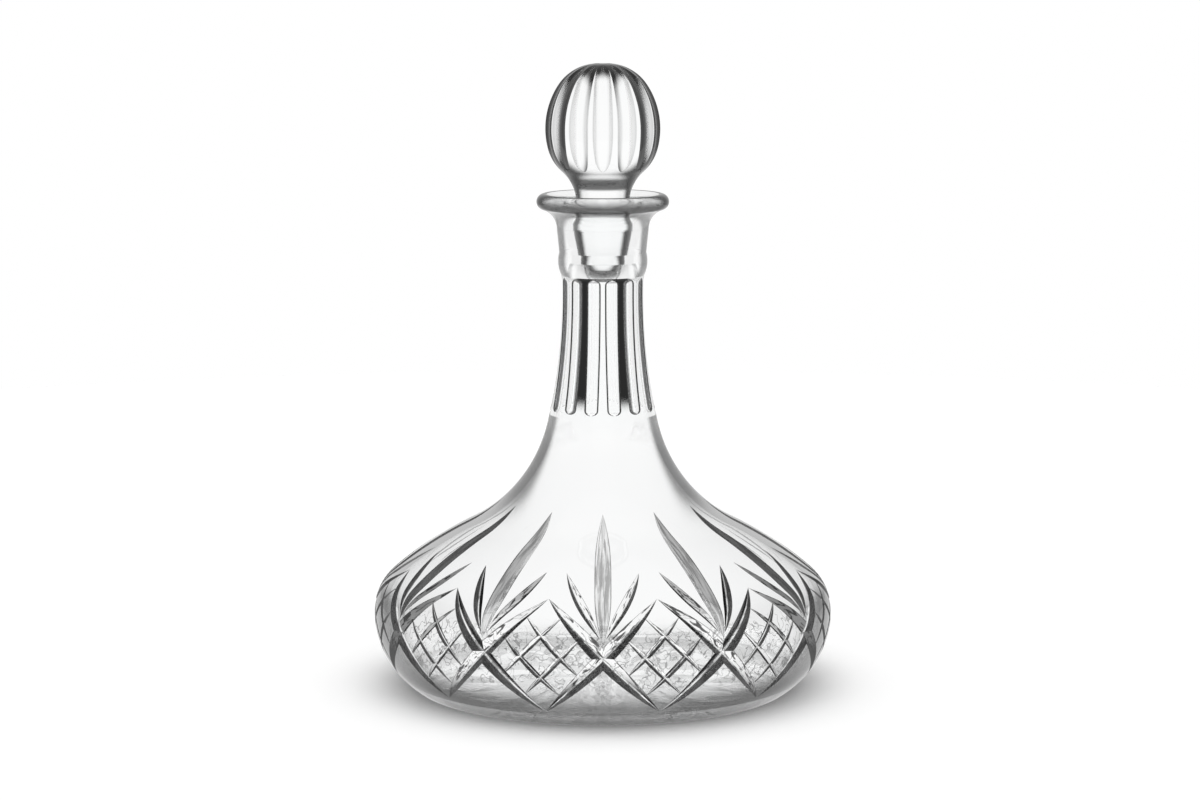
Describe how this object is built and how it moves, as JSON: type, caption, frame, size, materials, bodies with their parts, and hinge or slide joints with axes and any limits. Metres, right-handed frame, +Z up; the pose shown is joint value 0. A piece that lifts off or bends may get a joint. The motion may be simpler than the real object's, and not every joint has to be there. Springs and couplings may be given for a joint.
{
  "type": "ships decanter",
  "caption": "Broad-based clear cut-glass decanter with a fluted neck, a flared lip and a fluted ball stopper that lifts out of a ground seat.",
  "frame": {"origin": "middle of the foot, on the table", "axes": "+Z up along the axis of the neck, -Y towards the front of the picture"},
  "size_m": [0.1998, 0.1998, 0.2701],
  "materials": {
    "clear_glass": "clear colourless glass, polished, with polished mitre cuts and flutes",
    "stopper_glass": "clear colourless glass, polished ball and waist, with a finely ground peg"
  },
  "bodies": {
    "decanter": {"decanter": "clear_glass"},
    "stopper": {"stopper": "stopper_glass"}
  },
  "joints": [
    {"name": "stopper_lift", "type": "slide", "parent": "decanter", "child": "stopper", "axis": [0, 0, 1], "range_m": [0, 0.08]}
  ]
}
